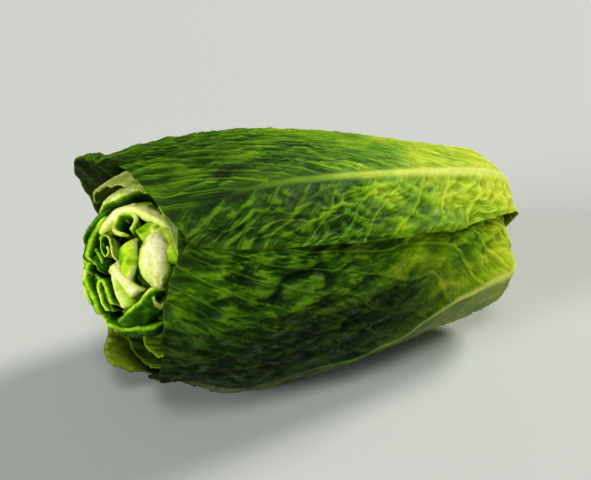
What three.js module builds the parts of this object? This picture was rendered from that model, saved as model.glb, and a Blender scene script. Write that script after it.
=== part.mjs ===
// A head of romaine (cos) lettuce, cut at the stem and lying on its side.
//
// The head is a nest of cupped leaves on a short conical stem. Every leaf is a thin closed
// shell that follows one layer of the head. A layer is named by k: 1 is the outside of the
// head and 0 its axis, so leaves on different layers can never cut through each other.
//
// A place on a layer is given by two coordinates:
//   q      the distance along the outside of the head, from the stem's edge to the crown
//   theta  the angle around the axis: 0 is the front (-Y), 90 the top, 180 the back
// The head's axis runs along X, with the cut stem towards +X and the crown towards -X.
// Lengths are in millimetres and angles in degrees.

import * as THREE from 'three';

// ---------------------------------------------------------------- driving dimensions

// The outline of the head from the stem's edge to the crown, as [along the axis, radius].
const ENVELOPE = [
  [0, 17], [1.2, 30], [4.5, 42], [12, 49.5], [30, 54], [70, 61.3],
  [120, 67.8], [165, 69.5], [195, 66.5], [220, 60], [240, 52], [260, 42],
];
const HEAD_TILT = 5.7;          // the cut end lies lower, because the head tapers to it
const NEST_CENTRE = 130;        // the point of the axis that the layers shrink towards
const NEST_BLEND = 60;          // past the centre they stop shrinking lengthwise over this
const HEART_LAYER = 0.62;       // from this layer inwards the leaves close over the crown
const OPEN_LAYER = 0.93;        // from this layer outwards they don't lean in at all
const OPEN_POWER = 0.8;         // how early the layers between lean in
const CROWN_START = 208;        // where the heart begins to round over
const CROWN_LENGTH = 34;        // from there to the top of the heart
const LEAN_LIMIT = 0.9;         // past this part of the crown the lean goes on straight

// A grown head isn't quite round. Each row is [waves around the head, part of the radius,
// phase at the stem, turn of the phase per mm along the axis].
const LUMPS = [[2, 0.012, 30, 0.25], [3, 0.011, 200, -0.4], [5, 0.006, 90, 0.9]];

const BED_LAYER = 0.96;         // the layer of the leaf that the head lies on
const BED_DEPTH = 5.5;          // how far that leaf is pressed flat by the head's weight
const BED_SPACING = 48;         // the squeezed spacing of the layers above it, per unit k

const STEM_GAP = 0.5;           // clearance of each leaf's foot from the stem
const STEM_LENGTH = 100;        // the stem's cone inside the head
const STEM_CHAMFER = 1.2;       // the worn edge of the cut face
const STEM_SIDES = 20;

const LAMINA = 1.3;             // thickness of a leaf's blade
const FOOT = 3.6;               // thickness of a leaf's foot at the stem
const FOOT_LENGTH = 46;         // the foot thins to the blade over this length
const RIB_START = 12;           // the midrib begins to stand out here
const RIB_RISE = 26;            // and stands out fully this much further on
const GOLDEN_ANGLE = 137.5;     // from each heart leaf to the next one inside it

// Leaves that stand open. mid: the midrib's angle at the stem, halfway and at the tip.
// blade: half-widths in degrees towards smaller and larger theta. foot: the same at the
// stem, in mm. wide: the part of the length over which they open out. narrow: the part of
// the width that is lost again towards the tip. tip: where the midrib ends along the axis.
// round: how much shorter the blade is at its sides. skew: how much longer again, on each
// side. curl: how far the tip bends outwards, in k. rib: the midrib's height and width.
const OPEN_LEAVES = [
  { name: 'outer_leaf_upper_front', k: 1.0, mid: [56, 65, 41], blade: [31, 64],
    foot: [15, 19], wide: [0.3, 0.24], narrow: [0.66, -0.2], tip: 209, round: 22, skew: [4, 30],
    curl: 0, rib: [3.2, 8] },
  { name: 'outer_leaf_lower_front', k: 0.96, mid: [-12, -27, -50], blade: [80, 68],
    foot: [18, 17], wide: [0.22, 0.18], narrow: [0.75, -0.3], tip: 216, round: 28, skew: [-20, 18],
    curl: 0, rib: [3.2, 9] },
  { name: 'outer_leaf_upper_back', k: 0.925, mid: [148, 152, 140], blade: [50, 54],
    foot: [18, 17], wide: [0.22, 0.26], narrow: [0.3, 0.1], tip: 229, round: 16, skew: [10, -12],
    curl: 0.2, rib: [3.0, 8] },
  { name: 'outer_leaf_lower_back', k: 0.89, mid: [230, 238, 236], blade: [52, 42],
    foot: [17, 19], wide: [0.26, 0.2], narrow: [0.1, 0.05], tip: 223, round: 8, skew: [-8, 8],
    curl: 0, rib: [3.0, 8] },
  { name: 'middle_leaf_front', k: 0.855, mid: [8, 14, 6], blade: [58, 60],
    foot: [15, 15], wide: [0.35, 0.35], narrow: [0.15, 0.15], tip: 213, round: 18, skew: [-2, 2],
    curl: 0, rib: [2.4, 8] },
  { name: 'middle_leaf_top', k: 0.82, mid: [100, 98, 106], blade: [60, 54],
    foot: [15, 15], wide: [0.35, 0.35], narrow: [0.2, 0.2], tip: 225, round: 22, skew: [-14, 14],
    curl: 0, rib: [2.4, 7] },
  { name: 'middle_leaf_back', k: 0.785, mid: [188, 190, 196], blade: [60, 60],
    foot: [14, 14], wide: [0.35, 0.35], narrow: [0.15, 0.15], tip: 222, round: 20, skew: [-3, 3],
    curl: 0, rib: [2.2, 7] },
  { name: 'middle_leaf_under', k: 0.748, mid: [290, 286, 280], blade: [60, 62],
    foot: [14, 14], wide: [0.35, 0.35], narrow: [0.15, 0.15], tip: 213, round: 18, skew: [2, -2],
    curl: 0, rib: [2.2, 7] },
  { name: 'inner_leaf_front', k: 0.715, mid: [55, 52, 46], blade: [70, 70],
    foot: [13, 13], wide: [0.35, 0.35], narrow: [0.1, 0.1], tip: 208, round: 14, skew: [-3, 3],
    curl: 0, rib: [1.8, 6] },
  { name: 'inner_leaf_back', k: 0.683, mid: [172, 176, 182], blade: [72, 70],
    foot: [12, 12], wide: [0.35, 0.35], narrow: [0.1, 0.1], tip: 218, round: 16, skew: [2, -2],
    curl: 0, rib: [1.8, 6] },
  { name: 'inner_leaf_under', k: 0.648, mid: [292, 296, 290], blade: [72, 72],
    foot: [12, 12], wide: [0.35, 0.35], narrow: [0.1, 0.1], tip: 208, round: 16, skew: [-2, 2],
    curl: 0, rib: [1.6, 6] },
];
const CURL_START = 220;         // an outward curl begins here along the axis
const CURL_LENGTH = 20;
const CURL_SIDE = -0.5;         // and only from this part of the width on, where no leaf
const CURL_BLEND = 0.3;         // lies over it
const NARROW_START = 0.3;       // leaves begin to narrow towards the tip here

// Heart leaves, from the outside in. Each folds over the crown and ends past the axis.
const HEART_FIRST_LAYER = 0.60;
const HEART_COUNT = 10;
const HEART_STEP = 0.035;       // from layer to layer
const HEART_FIRST_ANGLE = 28;
const HEART_FOOT = 9;           // half-width at the stem, degrees of arc on the heart
const HEART_WIDTH = 76;         // half-width at the belly, degrees of arc
const HEART_TIP_WIDTH = 50;     // and near the tip
const HEART_OVERHANG = [-22, -14];  // how far past the axis the leaves reach, degrees
const HEART_RIB = [1.0, 6];
const HEART_LAMINA = 1.1;
const BUD_LAYER = 0.22;

const LEAF_COLOURS = { outer: 0x3f7a1e, middle: 0x6fa32c, inner: 0x93bd45, heart: 0xb4cf62 };
const STEM_COLOUR = 0xe6e2bd;
const LEAF_FINISH = { roughness: 0.55, metalness: 0 };

// ---------------------------------------------------------------- small helpers

const RAD = Math.PI / 180;
const clamp = THREE.MathUtils.clamp;
const mix = THREE.MathUtils.lerp;
const smooth = (t) => THREE.MathUtils.smoothstep(t, 0, 1);

// A smooth curve through knots, measured along its chords: at(q) gives [along, radius].
function chordCurve(knots) {
  const q = [0];
  for (let i = 1; i < knots.length; i++) {
    const [a0, r0] = knots[i - 1];
    const [a1, r1] = knots[i];
    q.push(q[i - 1] + Math.hypot(a1 - a0, r1 - r0));
  }
  const slope = (i, n) => (knots[i + 1][n] - knots[i][n]) / (q[i + 1] - q[i]);
  const last = knots.length - 1;
  const tangent = (i, n) => {
    if (i === 0) return slope(0, n);
    if (i === last) return slope(last - 1, n);
    const before = q[i] - q[i - 1];
    const after = q[i + 1] - q[i];
    return (slope(i - 1, n) * after + slope(i, n) * before) / (before + after);
  };
  const at = (distance) => {
    const d = clamp(distance, 0, q[last]);
    let i = 0;
    while (i < last - 1 && d > q[i + 1]) i++;
    const h = q[i + 1] - q[i];
    const t = (d - q[i]) / h;
    return [0, 1].map((n) => (2 * t ** 3 - 3 * t ** 2 + 1) * knots[i][n]
      + (t ** 3 - 2 * t ** 2 + t) * h * tangent(i, n)
      + (3 * t ** 2 - 2 * t ** 3) * knots[i + 1][n]
      + (t ** 3 - t ** 2) * h * tangent(i + 1, n));
  };
  return { at, length: q[last] };
}

const outline = chordCurve(ENVELOPE);

// The distance along the outline at which it has come a certain way along the axis.
function outlineDistance(along) {
  let low = 0;
  let high = outline.length;
  for (let i = 0; i < 40; i++) {
    const middle = (low + high) / 2;
    if (outline.at(middle)[0] < along) low = middle;
    else high = middle;
  }
  return (low + high) / 2;
}

const NEST_RADIUS = outline.at(outlineDistance(NEST_CENTRE))[1];

// ---------------------------------------------------------------- the nest of layers

// How far a layer between the open leaves and the heart leans in over the crown.
function lean(k, along) {
  const amount = clamp((OPEN_LAYER - k) / (OPEN_LAYER - HEART_LAYER), 0, 1) ** OPEN_POWER;
  const x = Math.max(0, (along - CROWN_START) / CROWN_LENGTH);
  if (k <= HEART_LAYER) return 1 - Math.sqrt(Math.max(0, 1 - x * x));
  const limit = Math.sqrt(1 - LEAN_LIMIT ** 2);
  if (x < LEAN_LIMIT) return amount * (1 - Math.sqrt(1 - x * x));
  return amount * (1 - limit + (x - LEAN_LIMIT) * LEAN_LIMIT / limit);
}

// A point of layer k in the head's own upright section: [along the axis, radius].
function layerSection(q, k) {
  const [along, radius] = outline.at(q);
  const open = Math.max(k, HEART_LAYER);
  const heart = Math.min(k / HEART_LAYER, 1);
  const stretch = open + (1 - open) * smooth((along - NEST_CENTRE) / NEST_BLEND);
  return [
    NEST_CENTRE + heart * stretch * (along - NEST_CENTRE),
    heart * open * radius * Math.max(0, 1 - lean(open, along)),
  ];
}

// The same point in the head as it lies, turned by theta around the axis.
function tilted(along, radius, theta) {
  const lump = ([waves, part, phase, turn]) => (
    part * Math.sin((waves * theta + phase + turn * along) * RAD));
  const lumpy = radius * (1 + LUMPS.reduce((sum, row) => sum + lump(row), 0));
  const x = NEST_CENTRE - along;
  const z = lumpy * Math.sin(theta * RAD);
  const c = Math.cos(HEAD_TILT * RAD);
  const s = Math.sin(HEAD_TILT * RAD);
  return new THREE.Vector3(c * x + s * z, -lumpy * Math.cos(theta * RAD), c * z - s * x);
}

function lowestOf(k) {
  let lowest = 0;
  for (let q = 0; q < outline.length; q += 1) {
    lowest = Math.min(lowest, tilted(...layerSection(q, k), -90).z);
  }
  return lowest;
}

const bedHeight = lowestOf(BED_LAYER) + BED_DEPTH;

function headPoint(q, theta, k) {
  const point = tilted(...layerSection(q, k), theta);
  point.z = Math.max(point.z, bedHeight + BED_SPACING * (BED_LAYER - k));
  return point;
}

// The change of k that moves a point of the layer outwards by one millimetre.
function layerPerMillimetre(q, k) {
  const step = 0.01;
  const [a0, r0] = layerSection(q - step, k);
  const [a1, r1] = layerSection(q + step, k);
  const [ak, rk] = layerSection(q, k + step);
  const [a, r] = layerSection(q, k);
  const length = Math.hypot(a1 - a0, r1 - r0) || 1;
  const out = ((rk - r) * (a1 - a0) - (ak - a) * (r1 - r0)) / length;
  return step / Math.max(out, step);
}

// ---------------------------------------------------------------- leaves

// A closed shell over a grid of rows and columns. surface(row, column, side) gives the
// points of its outer (side 0) and inner (side 1) faces.
function shell(rows, columns, surface) {
  const across = columns + 1;
  const oneFace = (rows + 1) * across;
  const position = [];
  for (let side = 0; side < 2; side++) {
    for (let i = 0; i <= rows; i++) {
      for (let j = 0; j <= columns; j++) position.push(...surface(i, j, side).toArray());
    }
  }
  const index = [];
  const quad = (a, b, c, d) => index.push(a, b, c, a, c, d);
  for (let i = 0; i < rows; i++) {
    for (let j = 0; j < columns; j++) {
      const a = i * across + j;
      quad(a, a + 1, a + across + 1, a + across);
      quad(oneFace + a, oneFace + a + across, oneFace + a + across + 1, oneFace + a + 1);
    }
  }
  for (let j = 0; j < columns; j++) {
    const top = rows * across + j;
    quad(j, oneFace + j, oneFace + j + 1, j + 1);
    quad(top, top + 1, oneFace + top + 1, oneFace + top);
  }
  for (let i = 0; i < rows; i++) {
    const left = i * across;
    const right = left + columns;
    quad(left, left + across, oneFace + left + across, oneFace + left);
    quad(right, oneFace + right, oneFace + right + across, right + across);
  }
  const geometry = new THREE.BufferGeometry();
  geometry.setAttribute('position', new THREE.Float32BufferAttribute(position, 3));
  geometry.setIndex(index);
  geometry.computeVertexNormals();
  return geometry;
}

// The layer of a leaf's outer or inner face at a place, from its blade, foot and midrib.
function leafLayer(q, k, side, fromRib, rib, lamina) {
  const perMillimetre = layerPerMillimetre(q, k);
  const foot = mix(FOOT, lamina, smooth(q / FOOT_LENGTH));
  const ridge = rib[0] * smooth((q - RIB_START) / RIB_RISE) * Math.exp(-((fromRib / rib[1]) ** 2));
  return k + perMillimetre * (side === 0 ? ridge : -foot);
}

// Rows are close together around the shoulder of the head and wide apart on its flank.
const OPEN_ROWS = [
  0, 0.025, 0.055, 0.09, 0.13, 0.17, 0.21, 0.26, 0.35, 0.47, 0.59, 0.7, 0.8, 0.88, 0.94, 1,
];
const LOW_COLUMNS = [-1, -0.86, -0.72, -0.58, -0.44, -0.3, -0.16, -0.05];
const HIGH_COLUMNS = [0.05, 0.16, 0.34, 0.56, 0.78, 1];

function openLeaf(leaf) {
  const columns = [...LOW_COLUMNS, ...HIGH_COLUMNS];
  const [m0, m1, m2] = leaf.mid;
  return shell(OPEN_ROWS.length - 1, columns.length - 1, (i, j, side) => {
    const s = OPEN_ROWS[i];
    const w = columns[j];
    const high = w > 0 ? 1 : 0;
    const shorter = leaf.round * (1 - Math.sqrt(1 - 0.98 * w * w));
    const q = mix(STEM_GAP, outlineDistance(leaf.tip - shorter + leaf.skew[high] * Math.abs(w)), s);
    const [along, radius] = outline.at(q);
    const blade = leaf.blade[high] * RAD * NEST_RADIUS;
    const narrowed = 1 - leaf.narrow[high] * smooth((s - NARROW_START) / (1 - NARROW_START));
    const across = w * mix(leaf.foot[high], blade, smooth(s / leaf.wide[high])) * narrowed;
    const mid = (1 - s) ** 2 * m0 + 2 * s * (1 - s) * m1 + s ** 2 * m2;
    const layer = leaf.k + leaf.curl * smooth((along - CURL_START) / CURL_LENGTH)
      * smooth((w - CURL_SIDE) / CURL_BLEND);
    const k = leafLayer(q, layer, side, across * leaf.k, leaf.rib, LAMINA);
    return headPoint(q, mid + across / radius / RAD, k);
  });
}

// On the closed layers a place is given by two arcs: phi along the leaf's own midrib, 0 on
// the crown's pole and 180 at the stem, and across to its side. They are turned into the
// angle around the axis and the polar angle from the crown.
function heartPlace(phi, across) {
  const polar = Math.acos(clamp(Math.cos(phi * RAD) * Math.cos(across * RAD), -1, 1));
  const forward = Math.sin(phi * RAD) * Math.cos(across * RAD);
  const around = Math.atan2(Math.sin(across * RAD), forward) / RAD;
  const shoulder = outlineDistance(CROWN_START);
  const past = polar - Math.PI / 2;
  if (past <= 0) return [outlineDistance(CROWN_START + CROWN_LENGTH * Math.cos(polar)), around];
  const rest = shoulder - STEM_GAP - CROWN_LENGTH * Math.PI / 2;
  return [shoulder - CROWN_LENGTH * past - rest * (past / (Math.PI / 2)) ** 2, around];
}

const HEART_ROWS = [176, 168, 158, 146, 132, 116, 98, 78, 58, 38, 18, 0];
const HEART_COLUMNS = [-1, -0.78, -0.54, -0.3, -0.1, 0.1, 0.3, 0.54, 0.78, 1];

function heartLeaf(k, turn, overhang) {
  const first = HEART_ROWS[0];
  return shell(HEART_ROWS.length - 1, HEART_COLUMNS.length - 1, (i, j, side) => {
    const s = 1 - HEART_ROWS[i] / first;
    const w = HEART_COLUMNS[j];
    const round = 1 - 0.12 * s * w * w;
    const phi = mix(first, overhang, s * round);
    const opened = mix(HEART_FOOT, HEART_WIDTH, smooth(s / 0.45));
    const width = mix(opened, HEART_TIP_WIDTH, smooth((s - 0.6) / 0.4));
    const [q, around] = heartPlace(phi, w * width);
    const fromRib = w * width * RAD * layerSection(outlineDistance(CROWN_START), k)[1];
    return headPoint(q, turn + around, leafLayer(q, k, side, fromRib, HEART_RIB, HEART_LAMINA));
  });
}

// The youngest leaves are still one tight bud: a closed body on the innermost layer.
const BUD_ROWS = [170, 150, 120, 90, 60, 35, 15];
const BUD_SIDES = 12;

function bud() {
  const position = [];
  const ring = (i, j) => 1 + i * BUD_SIDES + (j % BUD_SIDES);
  const addPoint = (polar, theta) => {
    position.push(...headPoint(heartPlace(polar, 0)[0], theta, BUD_LAYER).toArray());
  };
  const foot = tilted(layerSection(heartPlace(BUD_ROWS[0], 0)[0], BUD_LAYER)[0], 0, 0);
  position.push(...foot.toArray());
  for (const polar of BUD_ROWS) {
    for (let j = 0; j < BUD_SIDES; j++) addPoint(polar, (360 * j) / BUD_SIDES);
  }
  addPoint(0, 0);
  const tip = position.length / 3 - 1;
  const index = [];
  const last = BUD_ROWS.length - 1;
  for (let j = 0; j < BUD_SIDES; j++) {
    index.push(0, ring(0, j + 1), ring(0, j));
    for (let i = 0; i < last; i++) {
      index.push(ring(i, j), ring(i, j + 1), ring(i + 1, j + 1));
      index.push(ring(i, j), ring(i + 1, j + 1), ring(i + 1, j));
    }
    index.push(ring(last, j), ring(last, j + 1), tip);
  }
  const geometry = new THREE.BufferGeometry();
  geometry.setAttribute('position', new THREE.Float32BufferAttribute(position, 3));
  geometry.setIndex(index);
  geometry.computeVertexNormals();
  return geometry;
}

// The stem: a cone that carries the foot of every leaf, with a plain cut face.
function stem() {
  const radiusAt = (along) => (ENVELOPE[0][1] - STEM_GAP / 2) * (1 - along / NEST_CENTRE);
  const profile = [
    new THREE.Vector2(0, 0),
    new THREE.Vector2(radiusAt(0) - STEM_CHAMFER, 0),
    new THREE.Vector2(radiusAt(STEM_CHAMFER), STEM_CHAMFER),
    new THREE.Vector2(radiusAt(STEM_LENGTH), STEM_LENGTH),
    new THREE.Vector2(0, STEM_LENGTH),
  ];
  const geometry = new THREE.LatheGeometry(profile, STEM_SIDES);
  const place = new THREE.Matrix4().makeRotationZ(Math.PI / 2);
  place.premultiply(new THREE.Matrix4().makeTranslation(NEST_CENTRE, 0, 0));
  place.premultiply(new THREE.Matrix4().makeRotationY(HEAD_TILT * RAD));
  return geometry.applyMatrix4(place);
}

// ---------------------------------------------------------------- the head

const lettuce = new THREE.Group();
lettuce.name = 'romaine_lettuce';

function add(name, geometry, color) {
  const material = new THREE.MeshStandardMaterial({ color, ...LEAF_FINISH });
  const mesh = new THREE.Mesh(geometry, material);
  mesh.name = name;
  lettuce.add(mesh);
}

add('stem', stem(), STEM_COLOUR);
for (const leaf of OPEN_LEAVES) {
  add(leaf.name, openLeaf(leaf), LEAF_COLOURS[leaf.name.split('_')[0]]);
}
for (let n = 0; n < HEART_COUNT; n++) {
  const turn = HEART_FIRST_ANGLE + GOLDEN_ANGLE * n;
  const leaf = heartLeaf(HEART_FIRST_LAYER - HEART_STEP * n, turn, HEART_OVERHANG[n % 2]);
  add(`heart_leaf_${n + 1}`, leaf, LEAF_COLOURS.heart);
}
add('heart_bud', bud(), LEAF_COLOURS.heart);

// The origin is under the middle of the head, on the surface that it lies on.
const box = new THREE.Box3().setFromObject(lettuce, true);
const middle = box.getCenter(new THREE.Vector3());
lettuce.position.set(-middle.x, -middle.y, -box.min.z);

export default lettuce;
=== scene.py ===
"""The looks of a head of romaine lettuce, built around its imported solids.

Every leaf is modelled again as a fine closed shell on the same layer of the head as its
solid, with a midrib, side veins, puckers, folds and a thin wavy margin. Lengths are in
millimetres and angles in degrees until a mesh is made, which is in metres.
"""

import math

import bpy
import numpy as np
from mathutils import Matrix, Vector
from mathutils.bvhtree import BVHTree


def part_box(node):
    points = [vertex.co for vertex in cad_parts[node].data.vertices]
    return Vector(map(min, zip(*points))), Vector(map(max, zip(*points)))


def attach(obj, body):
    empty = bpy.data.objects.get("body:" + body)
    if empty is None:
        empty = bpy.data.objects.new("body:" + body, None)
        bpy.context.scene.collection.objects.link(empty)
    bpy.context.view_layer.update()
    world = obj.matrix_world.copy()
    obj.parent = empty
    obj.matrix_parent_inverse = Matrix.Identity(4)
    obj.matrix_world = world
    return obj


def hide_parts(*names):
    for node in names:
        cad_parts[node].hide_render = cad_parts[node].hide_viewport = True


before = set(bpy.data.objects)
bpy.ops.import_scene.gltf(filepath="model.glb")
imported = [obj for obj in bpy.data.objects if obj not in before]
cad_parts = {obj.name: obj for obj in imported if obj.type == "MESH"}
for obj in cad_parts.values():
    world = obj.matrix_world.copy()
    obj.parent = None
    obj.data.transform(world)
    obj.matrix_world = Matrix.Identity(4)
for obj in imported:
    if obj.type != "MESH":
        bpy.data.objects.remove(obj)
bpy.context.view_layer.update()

MM = 0.001
RAD = math.pi / 180
COARSE = 1.0

# ------------------------------------------------------------ the head, as in its solids

ENVELOPE = np.array([
    [0, 17], [1.2, 30], [4.5, 42], [12, 49.5], [30, 54], [70, 61.3],
    [120, 67.8], [165, 69.5], [195, 66.5], [220, 60], [240, 52], [260, 42]])
HEAD_TILT = 5.7
NEST_CENTRE = 130
NEST_BLEND = 60
HEART_LAYER = 0.62
OPEN_LAYER = 0.93
OPEN_POWER = 0.8
CROWN_START = 208
CROWN_LENGTH = 34
LEAN_LIMIT = 0.9
LUMPS = [(2, 0.012, 30, 0.25), (3, 0.011, 200, -0.4), (5, 0.006, 90, 0.9)]
BED_LAYER = 0.96
BED_DEPTH = 5.5
BED_SPACING = 48
STEM_GAP = 0.5
STEM_LENGTH = 100
STEM_CHAMFER = 1.2
LAMINA = 1.3
FOOT = 3.6
FOOT_LENGTH = 46
RIB_START = 12
RIB_RISE = 26
GOLDEN_ANGLE = 137.5
NARROW_START = 0.3
TIP_ROUND = 0.98
HEART_FIRST_LAYER = 0.60
HEART_COUNT = 10
HEART_STEP = 0.035
HEART_FIRST_ANGLE = 28
HEART_FOOT = 9
HEART_WIDTH = 76
HEART_TIP_WIDTH = 50
HEART_ENDS = (50, 40, 42, 34, 28, 22, 16, 10, 4, -2)
HEART_START = 176
HEART_LAMINA = 1.1
HEART_SINK = 0.04          # the heart's leaves lie this much of a layer under their folds
HEART_SHOWN = 5            # this many of them have the finer grid
HEART_GRID, BURIED_GRID = (84, 64, 0.5), (40, 36, 0.5)
HEAD_HEIGHT = 132
GROUND_GAP = 0.1
UV_EDGE = 0.01
INSIDE_PLACE = 40.0        # how far the pattern of a leaf's inner side is from its outer one's
MARGIN_REACH = 9           # a leaf is thinner and ruffled this far in from its edge
EDGE_REACH = 2.2           # and rounded off over this
SIDE_RADIUS = 55           # turns the waves of its side edges from mm to angles
CLEAR_KEPT = 0.8           # relief keeps this far off the next leaf
CLEAR_START = 0.25         # the room over a leaf is measured from this far off it
CLEAR_FAR = 14.0           # and not beyond this
CLEAR_TILTS = ((0, 0), (0.5, 0), (-0.5, 0), (0, 0.5), (0, -0.5))
FOLD_LAYER = 0.60
FOLD_STEP = 0.55
FOLD_TONE = 4              # a step along a fold's profile follows its tone by this
CROWN_RADIUS = 37
CROWN_MIDDLE = CROWN_START - 20

# An open leaf's layer and midrib angles, the half-widths of its blade and foot, where along it
# it is wide, how much it narrows, how far its tip reaches, the rounding, skew and bow of the
# tip's edge (a bow of 1 is straight), and its rib's height and width. A pair is for the halves
# below and above the midrib. narrowing: where along it that begins, and how suddenly. shifts:
# how far the midrib steps to the side, from and to where along. bends: how far the leaf leaves
# its layer, from and to which place along, and over which part across. grid: its rows and
# columns, and how much closer the rows are at the tip.
OPEN_LEAF = dict(wide=(0.35, 0.35), narrowing=None, bow=(1, 1), grid=(76, 60, 0.75), shifts=(),
                 bends=())
OPEN_LEAVES = {
    "outer_leaf_upper_front": dict(
        k=1.0, mid=(56, 65, 41), blade=(26, 64), foot=(14, 22), wide=(0.45, 0.32),
        narrow=(0.78, -0.2), tip=209, round=12, skew=(0, 20), rib=(2.2, 5), narrowing=(0.45, 2.5),
        bow=(2, 2), grid=(250, 130, 0.0), shifts=[(3.5, 0.1, 0.25), (7.5, 0.5, 0.88)],
        bends=[(0.02, 190, 222, 0.3, 0.9), (0.03, 60, 20, 1.2, 0.2), (-0.025, 110, 165, 0.2, 0.7),
               (0.08, 108, 78, -0.55, -0.95), (-0.08, 70, 45, -0.55, -0.95)]),
    "outer_leaf_lower_front": dict(
        k=0.96, mid=(-12, -27, -50), blade=(80, 68), foot=(20, 17), wide=(0.12, 0.18),
        narrow=(0.75, -0.3), tip=212.5, round=42, skew=(10, 20), rib=(3.0, 7), bow=(2, 2),
        grid=(225, 176, 0.0), shifts=[(14.5, 0.0, 0.16), (-11.5, 0.27, 0.6)],
        bends=[(-0.15, 172, 206, 0.45, -0.15), (0.05, 60, 20, 0.6, -0.1),
               (-0.17, 135, 60, -0.05, -0.6)]),
    "outer_leaf_upper_back": dict(
        k=0.925, mid=(148, 152, 140), blade=(50, 54), foot=(24, 17), wide=(0.12, 0.26),
        narrow=(0.2, 0.2), tip=232, round=6, skew=(6, -25), rib=(3.0, 7), bow=(2, 1),
        grid=(186, 100, 0.1), bends=[(0.17, 212, 234, 0.9, 0.3)]),
    "outer_leaf_lower_back": dict(
        k=0.89, mid=(230, 238, 236), blade=(52, 42), foot=(17, 19), wide=(0.26, 0.2),
        narrow=(0.1, 0.05), tip=218, round=8, skew=(-22, 13), rib=(3.0, 7), bow=(1, 2),
        grid=(180, 92, 0.1), bends=[(-0.04, 180, 220, -0.4, 0.8), (-0.07, 120, 50, 0.2, 0.9)]),
    "middle_leaf_front": dict(
        k=0.855, mid=(8, 14, 6), blade=(58, 60), foot=(15, 15), narrow=(0.15, 0.15), tip=213,
        round=18, skew=(-2, 2), rib=(2.4, 7), bends=[(-0.09, 165, 198, -0.3, -0.8)]),
    "middle_leaf_top": dict(
        k=0.82, mid=(100, 98, 106), blade=(60, 54), foot=(15, 15), narrow=(0.2, 0.2), tip=225,
        round=22, skew=(-14, 9), rib=(2.4, 7)),
    "middle_leaf_back": dict(
        k=0.785, mid=(188, 190, 196), blade=(60, 60), foot=(14, 14), narrow=(0.15, 0.15), tip=222,
        round=20, skew=(-3, 3), rib=(2.2, 7)),
    "middle_leaf_under": dict(
        k=0.748, mid=(290, 286, 280), blade=(60, 62), foot=(14, 14), narrow=(0.15, 0.15), tip=213,
        round=18, skew=(2, -2), rib=(2.2, 7)),
    "inner_leaf_front": dict(
        k=0.715, mid=(55, 52, 46), blade=(70, 70), foot=(13, 13), narrow=(0.1, 0.1), tip=208,
        round=14, skew=(-3, 3), rib=(1.8, 6)),
    "inner_leaf_back": dict(
        k=0.683, mid=(172, 176, 182), blade=(72, 70), foot=(12, 12), narrow=(0.1, 0.1), tip=218,
        round=16, skew=(2, -2), rib=(1.8, 6)),
    "inner_leaf_under": dict(
        k=0.648, mid=(292, 296, 290), blade=(72, 72), foot=(12, 12), narrow=(0.1, 0.1), tip=208,
        round=16, skew=(-2, 2), rib=(1.6, 6)),
}


def mix(a, b, t):
    return a + (b - a) * t


def smooth(t):
    t = np.clip(t, 0, 1)
    return t * t * (3 - 2 * t)


def pick(pair, where):
    """The second of a pair where a number is above 0, else the first."""
    return np.where(where > 0, pair[1], pair[0])


def unit(vectors):
    return vectors / np.maximum(np.linalg.norm(vectors, axis=-1, keepdims=True), 1e-9)


SPANS = np.hypot(*np.diff(ENVELOPE, axis=0).T)
KNOTS = np.r_[0, np.cumsum(SPANS)]
SLOPES = np.diff(ENVELOPE, axis=0) / SPANS[:, None]
TANGENTS = np.vstack([
    SLOPES[:1],
    (SLOPES[:-1] * SPANS[1:, None] + SLOPES[1:] * SPANS[:-1, None])
    / (SPANS[1:] + SPANS[:-1])[:, None],
    SLOPES[-1:]])


def outline(q):
    """The head's outline at a distance q from the stem's edge: along the axis, radius."""
    q = np.clip(np.asarray(q, float), 0, KNOTS[-1])
    i = np.clip(np.searchsorted(KNOTS, q, side="right") - 1, 0, len(SPANS) - 1)
    h = SPANS[i]
    t = (q - KNOTS[i]) / h
    return [(2 * t ** 3 - 3 * t ** 2 + 1) * ENVELOPE[i, n]
            + (t ** 3 - 2 * t ** 2 + t) * h * TANGENTS[i, n]
            + (3 * t ** 2 - 2 * t ** 3) * ENVELOPE[i + 1, n]
            + (t ** 3 - t ** 2) * h * TANGENTS[i + 1, n] for n in (0, 1)]


DISTANCES = np.linspace(0, KNOTS[-1], 6001)
ALONGS = outline(DISTANCES)[0]


def outline_distance(along):
    return np.interp(along, ALONGS, DISTANCES)


NEST_RADIUS = float(outline(outline_distance(NEST_CENTRE))[1])
SHOULDER = float(outline_distance(CROWN_START))


def lean(k, along):
    """The part of its radius that layer k loses over the crown."""
    amount = np.clip((OPEN_LAYER - k) / (OPEN_LAYER - HEART_LAYER), 0, 1) ** OPEN_POWER
    x = np.maximum(0, (along - CROWN_START) / CROWN_LENGTH)
    closed = 1 - np.sqrt(np.maximum(0, 1 - x * x))
    limit = math.sqrt(1 - LEAN_LIMIT ** 2)
    onward = 1 - limit + (x - LEAN_LIMIT) * LEAN_LIMIT / limit
    return np.where(k <= HEART_LAYER, closed, amount * np.where(x < LEAN_LIMIT, closed, onward))


def layer_section(q, k):
    """Where layer k is at q: along the axis, and its distance from it."""
    along, radius = outline(q)
    opened = np.maximum(k, HEART_LAYER)
    heart = np.minimum(k / HEART_LAYER, 1)
    stretch = opened + (1 - opened) * smooth((along - NEST_CENTRE) / NEST_BLEND)
    return (NEST_CENTRE + heart * stretch * (along - NEST_CENTRE),
            heart * opened * radius * np.maximum(0, 1 - lean(opened, along)))


def lay_over(x, y, z):
    """Tilt points about the y axis, as the head lies."""
    c, s = math.cos(HEAD_TILT * RAD), math.sin(HEAD_TILT * RAD)
    return np.stack(np.broadcast_arrays(c * x + s * z, y, c * z - s * x), -1)


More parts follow.
